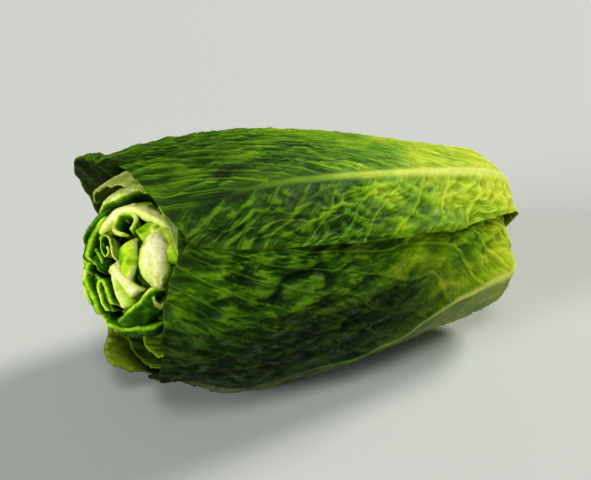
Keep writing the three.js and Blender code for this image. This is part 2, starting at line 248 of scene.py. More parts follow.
def tilted(along, radius, theta):
    """The point on the lying, lumpy head that is theta degrees round its axis."""
    lumpy = radius * (1 + sum(
        part * np.sin((waves * theta + phase + turn * along) * RAD)
        for waves, part, phase, turn in LUMPS))
    return lay_over(NEST_CENTRE - along, -lumpy * np.cos(theta * RAD),
                    lumpy * np.sin(theta * RAD))


BED_HEIGHT = BED_DEPTH + tilted(
    *layer_section(np.arange(0, KNOTS[-1]), BED_LAYER), -90.0)[:, 2].min()


def head_point(q, theta, k):
    """A point of layer k, which is pressed up where the head rests on the floor."""
    point = tilted(*layer_section(q, k), theta)
    point[..., 2] = np.maximum(point[..., 2], BED_HEIGHT + BED_SPACING * (BED_LAYER - k))
    return point


def layer_per_mm(q, k):
    """How much a layer's number grows in a millimetre outwards."""
    step = 0.01
    a0, r0 = layer_section(q - step, k)
    a1, r1 = layer_section(q + step, k)
    a, r = layer_section(q, k)
    ak, rk = layer_section(q, k + step)
    length = np.maximum(np.hypot(a1 - a0, r1 - r0), 1e-9)
    out = ((rk - r) * (a1 - a0) - (ak - a) * (r1 - r0)) / length
    return step / np.maximum(out, step)


def closed_distance(polar):
    """The distance q of a place on the closed layers from its angle off the crown."""
    past = np.maximum(0, polar - math.pi / 2)
    rest = SHOULDER - STEM_GAP - CROWN_LENGTH * math.pi / 2
    below = SHOULDER - CROWN_LENGTH * past - rest * (past / (math.pi / 2)) ** 2
    above = outline_distance(CROWN_START + CROWN_LENGTH * np.cos(polar))
    return np.where(polar <= math.pi / 2, above, below)


def heart_place(phi, across):
    """A place on the closed layers from two arcs: along a leaf's midrib, and across it."""
    polar = np.arccos(np.clip(np.cos(phi * RAD) * np.cos(across * RAD), -1, 1))
    around = np.arctan2(np.sin(across * RAD), np.sin(phi * RAD) * np.cos(across * RAD)) / RAD
    return closed_distance(polar), around


def crown_point(way, k):
    """The place on a closed layer in a direction: towards the crown, the front, the top."""
    way = way / np.linalg.norm(way, axis=-1, keepdims=True)
    polar = np.arccos(np.clip(way[..., 0], -1, 1))
    return head_point(closed_distance(polar), np.arctan2(way[..., 2], way[..., 1]) / RAD,
                      k + 0 * polar)


def crown_way(polar, theta):
    """The direction at an angle off the crown and an angle round the head."""
    polar, theta = np.asarray(polar) * RAD, np.asarray(theta) * RAD
    return np.stack([np.cos(polar), np.sin(polar) * np.cos(theta),
                     np.sin(polar) * np.sin(theta)], -1)


def stem_radius(along):
    return (ENVELOPE[0, 1] - STEM_GAP / 2) * (1 - along / NEST_CENTRE)


def stem_rims(sides=20):
    """The rims of the solid stem, before the head was set on the floor."""
    angle = np.arange(sides) * 360 / sides * RAD
    rims = []
    for along in (0, STEM_CHAMFER, STEM_LENGTH):
        radius = stem_radius(along) - (STEM_CHAMFER if along == 0 else 0)
        rims.append(lay_over(NEST_CENTRE - along, radius * np.sin(angle), radius * np.cos(angle)))
    return np.concatenate(rims)


# The solids' origin is on the floor under the head's middle: their stem shows where.
SHIFT = (np.sum(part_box("stem"), 0) / MM - stem_rims().min(0) - stem_rims().max(0)) / 2

# ------------------------------------------------------------ noise in code


def lattice(ix, iy, seed):
    n = (ix.astype(np.int64) * 374761393 + iy.astype(np.int64) * 668265263
         + seed * 974634777) & 0xFFFFFFFF
    n = ((n ^ (n >> 13)) * 1274126177) & 0xFFFFFFFF
    return ((n ^ (n >> 16)) & 0xFFFFFF) / 0xFFFFFF


def noise(x, y, seed=0):
    """Smooth noise from -1 to 1 with features about one unit wide."""
    ix, iy = np.floor(x), np.floor(y)
    fx, fy = x - ix, y - iy
    fx, fy = fx ** 3 * (fx * (fx * 6 - 15) + 10), fy ** 3 * (fy * (fy * 6 - 15) + 10)
    a = mix(lattice(ix, iy, seed), lattice(ix + 1, iy, seed), fx)
    b = mix(lattice(ix, iy + 1, seed), lattice(ix + 1, iy + 1, seed), fx)
    return 2 * mix(a, b, fy) - 1


def rough_noise(x, y, seed=0, octaves=3):
    return sum(noise(x * 2 ** n, y * 2 ** n, seed + n) / 2 ** n
               for n in range(octaves)) / (2 - 0.5 ** (octaves - 1))


def cells(x, y, seed):
    """The distances to the nearest and second nearest of scattered points."""
    jitter = 0.85
    ix, iy = np.floor(x), np.floor(y)
    near = np.full(x.shape, 9.0)
    second = np.full(x.shape, 9.0)
    for dx in (-1, 0, 1):
        for dy in (-1, 0, 1):
            px = ix + dx + 0.5 + jitter * (lattice(ix + dx, iy + dy, seed) - 0.5)
            py = iy + dy + 0.5 + jitter * (lattice(ix + dx, iy + dy, seed + 57) - 0.5)
            d = np.hypot(px - x, py - y)
            second = np.minimum(second, np.maximum(near, d))
            near = np.minimum(near, d)
    return near, second


# ------------------------------------------------------------ leaf forms


def even(count, dense=0.0):
    """Steps from 0 to 1, closer together towards 1 by the part dense."""
    t = np.linspace(0, 1, max(8, int(count / COARSE)) + 1)
    return (1 + dense) * t - dense * t * t


def grid_lines(rows, columns, dense):
    half = even(columns / 2, 0.25)
    return even(rows, dense), np.r_[-half[:0:-1], half]


class OpenLeaf:
    """A leaf that stands open: where its grid lies on the head, and on the leaf itself."""

    def __init__(self, name):
        vars(self).update({**OPEN_LEAF, **OPEN_LEAVES[name]}, name=name, lamina=LAMINA)
        self.s, self.w = grid_lines(*self.grid)

    def place(self, s, w, edge_wave=0.0):
        """q, theta and layer at s along and w across the leaf."""
        shorter = self.round * (1 - np.sqrt(1 - TIP_ROUND * np.minimum(w * w, 1)))
        skewed = pick(self.skew, w) * (1 - (1 - np.minimum(np.abs(w), 1)) ** pick(self.bow, w))
        tip = self.tip - shorter + skewed + edge_wave
        q = mix(STEM_GAP, outline_distance(tip), s)
        along, radius = outline(q)
        mid = (1 - s) ** 2 * self.mid[0] + 2 * s * (1 - s) * self.mid[1] + s ** 2 * self.mid[2]
        layer = self.k + sum(
            amount * smooth((along - a0) / (a1 - a0)) * smooth((w - w0) / (w1 - w0))
            for amount, a0, a1, w0, w1 in self.bends)
        return q, mid + w * self.half(s, w) / radius / RAD, layer

    def half(self, s, w):
        """How wide the half of the leaf that w is on is at s, on the outermost layer."""
        if self.narrowing:
            start, power = self.narrowing
            narrowed = np.clip((s - start) / (1 - start), 0, 1) ** power
        else:
            narrowed = smooth((s - NARROW_START) / (1 - NARROW_START))
        blade = pick(self.blade, w) * RAD * NEST_RADIUS
        return mix(pick(self.foot, w), blade, smooth(s / pick(self.wide, w))) * (
            1 - pick(self.narrow, w) * narrowed)

    def sizes(self, s, w):
        """How long the leaf is at w, and how wide its half is at s."""
        return self.place(np.ones_like(s), w)[0], self.half(s, w) * self.k


class HeartLeaf:
    """A leaf that folds over the crown, on a closed layer."""

    lamina = HEART_LAMINA
    rib = (1.0, 6)
    shifts = ()

    def __init__(self, n):
        self.name = f"heart_leaf_{n + 1}"
        self.k = HEART_FIRST_LAYER - HEART_SINK - HEART_STEP * n
        self.turn = HEART_FIRST_ANGLE + GOLDEN_ANGLE * n
        self.overhang = HEART_ENDS[n]
        self.s, self.w = grid_lines(*(HEART_GRID if n < HEART_SHOWN else BURIED_GRID))
        self.belly = float(layer_section(SHOULDER, self.k)[1])
        self.length = 0.5 * SHOULDER + 1.2 * self.belly

    def place(self, s, w, edge_wave=0.0):
        grow = s * (1 - 0.12 * s * w * w) + edge_wave / self.length * s
        q, around = heart_place(mix(HEART_START, self.overhang, grow), w * self.width(s))
        return q, self.turn + around, self.k + 0 * s

    def width(self, s):
        opened = mix(HEART_FOOT, HEART_WIDTH, smooth(s / 0.45))
        return mix(opened, HEART_TIP_WIDTH, smooth((s - 0.6) / 0.4))

    def sizes(self, s, w):
        return self.length + 0 * s, self.width(s) * RAD * self.belly


def quads(grid, flip=False):
    """The corners of a grid's squares, a row for each square."""
    corners = [grid[:-1, :-1], grid[:-1, 1:], grid[1:, 1:], grid[1:, :-1]]
    return np.stack(corners[::-1] if flip else corners, 2).reshape(-1, 4, *grid.shape[2:])


inner_sides = ([], [])      # points and faces of the inner sides of the leaves built so far


def remember(grid, stride=3):
    """Keep a leaf's inner side, coarsely, for the leaves under it."""
    grid = (grid + SHIFT)[::stride, ::stride]
    points, faces = inner_sides
    number = len(points) + np.arange(grid[..., 0].size).reshape(grid.shape[:2])
    points.extend(map(tuple, grid.reshape(-1, 3).tolist()))
    faces.extend(map(tuple, quads(number).tolist()))


def clearance(leaf, s, w, rows=44, columns=30):
    """The free room over a leaf in mm, out to the next leaf or the floor, at s and w."""
    tree = BVHTree.FromPolygons(*inner_sides) if inner_sides[0] else None
    q, theta, k = leaf.place(*np.meshgrid(np.linspace(0, 1, rows), np.linspace(-1, 1, columns),
                                          indexing="ij"))
    per = layer_per_mm(q, k)
    start = head_point(q, theta, k + per * CLEAR_START)
    out = unit(head_point(q, theta, k + per * (CLEAR_START + 2)) - start)
    side = unit(np.gradient(start, axis=1))
    on = np.cross(side, out)
    start = start + SHIFT
    down = np.maximum(-out[..., 2], 1e-3)
    room = np.minimum(CLEAR_FAR, np.maximum(start[..., 2], 0) / down)
    for tilt_side, tilt_on in CLEAR_TILTS if tree else ():
        ray = out + tilt_side * side + tilt_on * on
        for i, j in np.ndindex(rows, columns):
            hit = tree.ray_cast(Vector(start[i, j]), Vector(ray[i, j]).normalized(), CLEAR_FAR)
            if hit[0] is not None:
                room[i, j] = min(room[i, j], hit[3])
    for _ in range(2):
        wide = np.pad(room, 1, mode="edge")
        room = np.minimum(room, (wide[:-2, 1:-1] + wide[2:, 1:-1] + wide[1:-1, :-2]
                                 + wide[1:-1, 2:] + 2 * room) / 6)
    y, x = s * (rows - 1), (w + 1) / 2 * (columns - 1)
    i = np.minimum(y.astype(int), rows - 2)
    j = np.minimum(x.astype(int), columns - 2)
    y, x = y - i, x - j
    return (room[i, j] * (1 - y) * (1 - x) + room[i + 1, j] * y * (1 - x)
            + room[i, j + 1] * (1 - y) * x + room[i + 1, j + 1] * y * x)


def blur(field, radius):
    """A soft copy of a field over the grid, from two running means each way."""
    size = 2 * radius + 1
    for _ in range(4):
        total = np.cumsum(np.pad(field, ((radius + 1, radius), (0, 0)), mode="edge"), axis=0)
        field = ((total[size:] - total[:-size]) / size).T
    return field


def vein_field(u, v, spacing, slants, seed):
    """Side veins that leave the midrib and sweep towards the tip: each place's number along
    the row of veins, how far it is from the nearest one in mm, and the veins' slope."""
    side = np.where(v > 0, 1.0, 0.0)
    away = np.abs(v)
    slant = mix(0.25, 1.2, smooth(u / 190)) * pick(slants, v)
    start = u - slant * away - 0.004 * away ** 2
    start = start + 6.0 * noise(u / 42 + 7 * side, away / 26, seed) \
        + 2.2 * noise(u / 14, away / 11 + 5 * side, seed + 3)
    number = start / spacing + 0.5 * side
    steep = np.sqrt(1 + (slant + 0.008 * away) ** 2)
    nearest = np.abs(number - np.round(number)) * spacing / steep
    return number, nearest, steep


def new_object(name, data):
    thing = bpy.data.objects.new(name, data)
    bpy.context.scene.collection.objects.link(thing)
    return thing


def new_mesh(name, points, faces):
    """A smooth mesh from points in mm, where the head was before it was set on the floor."""
    mesh = bpy.data.meshes.new(name)
    mesh.from_pydata(((points + SHIFT) * MM).tolist(), [], faces)
    mesh.polygons.foreach_set("use_smooth", [True] * len(faces))
    return mesh


def set_attribute(mesh, name, values):
    """Give each point a number or a vector."""
    kind, field = ("FLOAT", "value") if values.size == len(mesh.vertices) else (
        "FLOAT_VECTOR", "vector")
    attribute = mesh.attributes.new(name, kind, "POINT")
    attribute.data.foreach_set(field, values.astype(np.float32).ravel())


def leaf_mesh(name, outer, inner, attributes):
    """A closed shell from an outer and an inner grid that share their border. An attribute is
    one value or grid for both sides, or a pair of them."""
    rows, columns = outer.shape[:2]
    core = (slice(1, -1), slice(1, -1))

    def both(first, second):
        """The rows of the outer grid, then those inside the border of the inner one."""
        size = first.shape[2] if first.ndim == 3 else 1
        return np.concatenate([first.reshape(-1, size), second[core].reshape(-1, size)])

    number = np.arange(rows * columns).reshape(rows, columns)
    under = number.copy()
    under[core] = rows * columns + np.arange(under[core].size).reshape(under[core].shape)
    faces = np.concatenate([quads(number), quads(under, True)])
    mesh = new_mesh(name, both(outer, inner), faces.tolist())
    i, j = np.meshgrid(np.linspace(0, 1, rows), np.linspace(0, 1, columns), indexing="ij")
    uv = np.stack([UV_EDGE + (0.5 - 2 * UV_EDGE) * j, UV_EDGE + (1 - 2 * UV_EDGE) * i], -1)
    corners = np.concatenate([quads(uv), quads(uv + (0.5, 0), True)])
    layer = mesh.uv_layers.new(name="OFBake")
    layer.data.foreach_set("uv", corners.astype(np.float32).ravel())
    for key, value in attributes.items():
        sides = [np.broadcast_to(side, outer.shape if np.ndim(side) == 3 else outer.shape[:2])
                 for side in (value if isinstance(value, tuple) else (value, value))]
        set_attribute(mesh, key, both(*sides))
    mesh.update(calc_edges=True)
    mesh.validate()
    return new_object(name, mesh)


def build_leaf(leaf, look):
    """The leaf's fine shell. look holds its relief in mm and its pattern's scales. Its
    hollows, slants, stretch, streaks, crisp and young are pairs: below and above the midrib."""
    seed = look["seed"]
    s, w = np.meshgrid(leaf.s, leaf.w, indexing="ij")
    length, half = leaf.sizes(s, w)
    room = clearance(leaf, s, w)
    u, beside = s * length, w * half
    margin = np.minimum((1 - np.abs(w)) * half, (1 - s) * length)
    near_margin = np.exp(-margin / MARGIN_REACH)

    # Small scallops of the edge.
    edge_wave = look["scallop"] * (noise(beside / 6.5, seed * 1.7, seed + 5)
                                   + 0.7 * noise(beside / 17, 3.1, seed + 6)) \
        + look["notch"] * noise(beside / 34, 5.5, seed + 8)
    q, theta, layer = leaf.place(s, w, edge_wave)
    side_wave = look["scallop"] * noise(u / 8, np.sign(w) * 5, seed + 7) * np.abs(w) ** 6
    theta = theta + side_wave / SIDE_RADIUS / RAD

    v = beside - sum(step * smooth((s - s0) / (s1 - s0)) for step, s0, s1 in leaf.shifts)
    away = np.abs(v)
    above = smooth((v + 2) / 4)
    by_side = lambda key: mix(look[key][0], look[key][1], above)
    number, nearest, steep = vein_field(u, v, look["veins"], look["slants"], seed)

    # The midrib is broad at the foot and fades out before the tip.
    rib_foot, rib_blade, rib_reach = look["rib"]
    rib_width = mix(rib_blade, rib_foot, np.exp(-u / rib_reach)) * (1 - 0.75 * s ** 1.2)
    rib = np.exp(-(away / rib_width) ** 2.2) * smooth((0.93 - s) / 0.22)
    rib_high, rib_round = leaf.rib
    ridge = (rib_high * smooth((q - RIB_START) / RIB_RISE) * (1 - s)
             * np.exp(-(v / mix(rib_round, 2.0, s)) ** 2)) \
        + 0.2 * noise(v / 1.5, u / 60, seed + 30) * rib

    flat = (1 - rib) * smooth((away - rib_width * 0.7) / 6)
    vein_width = mix(1.2, 0.7, smooth(away / 50))
    vein = np.exp(-(nearest / vein_width) ** 2) * smooth(u / 20) * (1 - rib) * (
        1 - 0.45 * s) * mix(1.0, 0.5, smooth((away - 20) / 40))

    # Wrinkles run along the veins, between puckered hollows.
    warp = 1.6 * rough_noise(u / 18, v / 14, seed + 40)
    wrinkle_high, wrinkle_wide, wrinkle_long = look["wrinkle"]
    a = number * look["veins"] / steep / wrinkle_wide + warp
    b = away * steep / wrinkle_long + 0.2 * warp
    wrinkle = np.clip(1 - 2.1 * np.abs(noise(a, b, seed + 42)), 0, 1) \
        + 0.6 * np.clip(1 - 2.1 * np.abs(noise(2.3 * a + 5, 2.1 * b, seed + 43)), 0, 1)
    patch = 0.65 + 0.5 * rough_noise(u / 34, v / 28, seed + 44)
    pucker_long, pucker_wide = look["puckers"]
    near, second = cells((u + 5 * warp) / pucker_long, (v + 4 * warp) / pucker_wide, seed + 45)
    hollow = by_side("hollows") * smooth((second - near) / 0.9)
    carved = (wrinkle_high * wrinkle - hollow) * flat * patch + 0.9 * look["vein_height"] * vein
    if look["blister"]:
        middle_u, middle_v, reach_u, reach_v = look["blister"]
        out = np.hypot((u - middle_u) / reach_u, (v - middle_v) / reach_v) + 0.12 * warp
        ring = np.exp(-((out - 1) / 0.2) ** 2) * smooth((v - middle_v) / reach_v + 0.7)
        carved = carved + 2.0 * smooth((1.1 - out) / 0.6) - 2.2 * ring

    # Long folds lie nearly along the leaf, towards its tip.
    fold_high, fold_start, skew = look["folds"]
    along_fold = rough_noise((u + 0.4 * v) / 38, (v + skew * u + 4 * warp) / 4.4,
                             seed + 50, 2)
    carved = carved + fold_high * smooth((s - fold_start) / 0.25) * flat * np.clip(
        1 - 2.4 * np.abs(along_fold), 0, 1)
    ruffle_high, ruffle_long = look["ruffle"]
    wave = u / ruffle_long + v / (ruffle_long * 0.7)
    ruffle = ruffle_high * near_margin * (
        0.5 + 0.5 * np.sin(2 * math.pi * wave + 3 * noise(u / 30, v / 30, seed + 70)))

    relief = carved + look["swell"] * rough_noise(u / 46, v / 30, seed + 60) + ruffle
    give = np.clip((room - CLEAR_KEPT) / look["most"], 0, 1)
    relief = np.where(relief > 0, relief * give, relief) * smooth((q - 4) / 24)
    # painted light and shade from the relief: lighter on ridges, darker in hollows
    level = np.clip(0.5 + (carved - blur(carved, 5)) / look["contrast"], 0, 1)

    # The blade thins to a fine edge.
    thin = np.sqrt(1 - (1 - np.clip(np.minimum(margin, u) / EDGE_REACH, 0, 1)) ** 2)
    thick = mix(FOOT, leaf.lamina, smooth(q / FOOT_LENGTH)) * thin * mix(
        1, 0.6, near_margin * smooth(s * 3))
    per = layer_per_mm(q, layer)
    top = relief + ridge * np.clip((room + 0.4) / 2.5, 0, 1)
    outer = head_point(q, theta, layer + per * top)
    inner = head_point(q, theta, layer + per * np.where(margin <= 1e-6, top, relief - thick))
    ground = GROUND_GAP - SHIFT[2]
    inner[..., 2] = np.maximum(inner[..., 2], ground + 0.5 * np.minimum(margin, 1))
    outer[..., 2] = np.maximum(outer[..., 2], ground)
    remember(inner)

    place = np.stack([u, v, np.full_like(u, seed * 13.0)], -1)
    lit_from, lit_to = look["bright"]
    return leaf_mesh(leaf.name + "_fine", outer, inner, {
        "leaf_place": (place, place + (0, 0, INSIDE_PLACE)),
        "flow": np.stack([number, away * steep * by_side("stretch"), by_side("streaks")], -1),
        "grown": s + look["age"] - look["young_tip"] * smooth((s - 0.65) / 0.3)
        - by_side("young") * smooth((s - 0.15) / 0.2) * smooth((0.85 - s) / 0.25),
        "rib": (rib, rib * 0.8),
        # painted shade, from the leaf's look, less on the midrib
        "dark": look["shade"](s, (outer[..., 2] + SHIFT[2]) / HEAD_HEIGHT)
        * (1 - 0.75 * rib * smooth((0.9 - s) / 0.25)),
        "level": level,
        "cover": 1 - np.clip((room - 1) / 8, 0, 1),
        "inside": (0.0, 1.0),
        "bright": smooth((s - lit_from) / (lit_to - lit_from)),
        "crisp": by_side("crisp") * mix(look["crisp_foot"], 1, smooth((s - 0.25) / 0.35)),
        "pale": look["pale"] * smooth((-v - 1) / 3) * mix(1, 0.6, smooth((s - 0.3) / 0.3))
        * smooth((1 - s) / 0.15),
        "margin": np.exp(-margin / 3.0),
    })


def curve(points, step, between=24):
    """A smooth line through points, in even steps: rows of the points' own numbers."""
    points = np.asarray(points, float)
    padded = np.vstack([2 * points[0] - points[1], points, 2 * points[-1] - points[-2]])
    t = np.linspace(0, 1, between, endpoint=False)[:, None]
    parts = [0.5 * (2 * p1 + (p2 - p0) * t + (2 * p0 - 5 * p1 + 4 * p2 - p3) * t ** 2
                    + (3 * p1 - p0 - 3 * p2 + p3) * t ** 3)
             for p0, p1, p2, p3 in zip(padded, padded[1:], padded[2:], padded[3:])]
    line = np.vstack(parts + [points[-1:]])
    gone = np.r_[0, np.cumsum(np.linalg.norm(np.diff(line, axis=0), axis=1))]
    count = max(8, int(gone[-1] / (step * COARSE)) + 1)
    places = np.linspace(0, gone[-1], count)
    return np.stack([np.interp(places, gone, column) for column in line.T], -1)


def build_fold(name, path, profile, seed, k=FOLD_LAYER, ends=(0.15, 0.15), wobble=0.6,
               thickness=1.0):
    """A folded rim of a heart leaf. The path is angles off the crown and round the head;
    the profile goes across it from left to right, as offset, height and tone."""
    way = unit(curve(crown_way(*np.array(path, float).T), FOLD_STEP / CROWN_RADIUS))
    across = curve([(o, h, FOLD_TONE * tone) for o, h, tone in profile], FOLD_STEP)
    side = unit(np.cross(unit(np.gradient(way, axis=0)), way))
    gone = np.r_[0, np.cumsum(np.linalg.norm(np.diff(way, axis=0), axis=1))] * CROWN_RADIUS
    t = gone / gone[-1]
    whole = (smooth(t / ends[0]) * smooth((1 - t) / ends[1]))[:, None]
    u, v = np.meshgrid(gone, across[:, 0], indexing="ij")
    offset = v * (0.45 + 0.55 * whole) + wobble * noise(u / 5, 0 * v, seed)
    height = across[:, 1] + wobble * 0.8 * noise(u / 6, v / 8, seed + 1) - 4.0 * (1 - whole)
    height = height + 0.5 * rough_noise(u / 3.5, v / 2.6, seed + 2) * (height > -2)
    angle = (offset / CROWN_RADIUS)[..., None]
    ground = crown_point(way[:, None] * np.cos(angle) + side[:, None] * np.sin(angle), k)
    away = unit(ground - tilted(CROWN_MIDDLE, 0, 0))
    outer = ground + away * height[..., None]
    normal = unit(np.cross(np.gradient(outer, axis=1), np.gradient(outer, axis=0)))
    to_end = [np.minimum(np.arange(size), np.arange(size)[::-1]) for size in u.shape]
    part = np.sqrt(np.clip(np.minimum.outer(*to_end) * FOLD_STEP * COARSE / 1.2, 0, 1))
    inner = outer - normal * (thickness * part)[..., None]
    tone = np.clip(across[:, 2] / FOLD_TONE + 0.12 * noise(u / 7, v / 3, seed + 3), 0, 1)
    place = np.stack([u, v, np.full_like(u, seed * 7.0)], -1)
    return leaf_mesh(name, outer, inner, {
        "leaf_place": (place, place + (0, 0, INSIDE_PLACE)),
        "flow": np.stack([u / 5, v, np.full_like(u, 3.0)], -1),
        "grown": 1 - tone,
        "rib": smooth((tone - 0.8) / 0.2),
        # painted shade, darker where the fold runs down among the leaves
        "dark": smooth((-height - 0.5) / 4.5),
        # painted light and shade: lighter where the fold stands higher, over random mottle
        "level": np.clip(0.5 + 0.4 * noise(u / 4, v / 2.5, seed + 4) + 0.08 * height, 0, 1),
        "cover": 0.0, "inside": (0.0, 1.0), "bright": 1.0, "crisp": 0.4, "margin": 0.0})


# ------------------------------------------------------------ materials


def srgb(red, green, blue):
    def linear(value):
        value /= 255
        return value / 12.92 if value <= 0.04045 else ((value + 0.055) / 1.055) ** 2.4
    return (linear(red), linear(green), linear(blue), 1.0)


class Field:
    """A number that varies over a surface. Sums and products of such numbers are nodes."""

    def __init__(self, nodes, socket):
        self.nodes, self.socket = nodes, socket

    def __add__(self, other):
        return self.nodes.math("ADD", self, other)

    def __sub__(self, other):
        return self.nodes.math("SUBTRACT", self, other)

    def __rsub__(self, other):
        return self.nodes.math("SUBTRACT", other, self)

    def __mul__(self, other):
        return self.nodes.math("MULTIPLY", self, other)

    def __abs__(self):
        return self.nodes.math("ABSOLUTE", self)

    def fraction(self):
        return self.nodes.math("FRACT", self)

    def ease(self, low, high, to_low=0.0, to_high=1.0):
        """From to_low at low to to_high at high, smoothly, and level beyond them."""
        return Field(self.nodes, self.nodes.add("MapRange", {
            "Value": self, "From Min": low, "From Max": high, "To Min": to_low,
            "To Max": to_high}, interpolation_type="SMOOTHSTEP").outputs[0])


class Nodes:
    """Short calls for building a node tree. The names of node kinds lack "ShaderNode"."""

    def __init__(self, name):
        self.material = bpy.data.materials.new(name)
        self.material.use_nodes = True
        self.tree = self.material.node_tree
        self.tree.nodes.clear()

    def add(self, kind, inputs=None, **settings):
        node = self.tree.nodes.new("ShaderNode" + kind)
        for key, value in settings.items():
            setattr(node, key, value)
        for key, value in (inputs or {}).items():
            if isinstance(value, Field):
                value = value.socket
            if isinstance(value, bpy.types.NodeSocket):
                self.tree.links.new(value, node.inputs[key])
            else:
                node.inputs[key].default_value = value
        return node

    def attribute(self, name):
        return Field(self, self.add("Attribute", attribute_name=name).outputs["Fac"])

    def vector(self, name):
        return self.add("Attribute", attribute_name=name).outputs["Vector"]

    def math(self, operation, a, b=0.0, clamp=False):
        return Field(self, self.add("Math", {0: a, 1: b}, operation=operation,
                                    use_clamp=clamp).outputs[0])

    def noise(self, place, scale, detail=3.0, rough=0.55, warp=0.0):
        """The scale is one number, or one for each axis."""
        if isinstance(scale, tuple):
            place = self.scaled(place, scale)
            scale = 1.0
        return Field(self, self.add("TexNoise", {
            "Vector": place, "Scale": scale, "Detail": detail, "Roughness": rough,
            "Distortion": warp}).outputs["Fac"])

    def scaled(self, place, factors):
        return self.add("VectorMath", {0: place, 1: factors},
                        operation="MULTIPLY").outputs[0]

    def ramp(self, factor, stops):
        """Stops are places from 0 to 1, each with its colour as red, green and blue."""
        node = self.add("ValToRGB", {"Fac": factor})
        elements = node.color_ramp.elements
        while len(elements) < len(stops):
            elements.new(0.5)
        for element, (position, colour) in zip(elements, stops):
            element.position = position
            element.color = srgb(*colour)
        return node.outputs["Color"]

    def blend(self, factor, a, b, mode="MIX"):
        return self.add("Mix", {0: factor, 6: a, 7: b}, data_type="RGBA",
                        blend_type=mode).outputs[2]

    def bump(self, height, strength, distance):
        return self.add("Bump", {
            "Height": height, "Strength": strength, "Distance": distance}).outputs[0]

    def surface(self, inputs):
        return self.add("BsdfPrincipled", inputs).outputs[0]

    def finish(self, shader):
        self.add("OutputMaterial", {"Surface": shader})
        return self.material


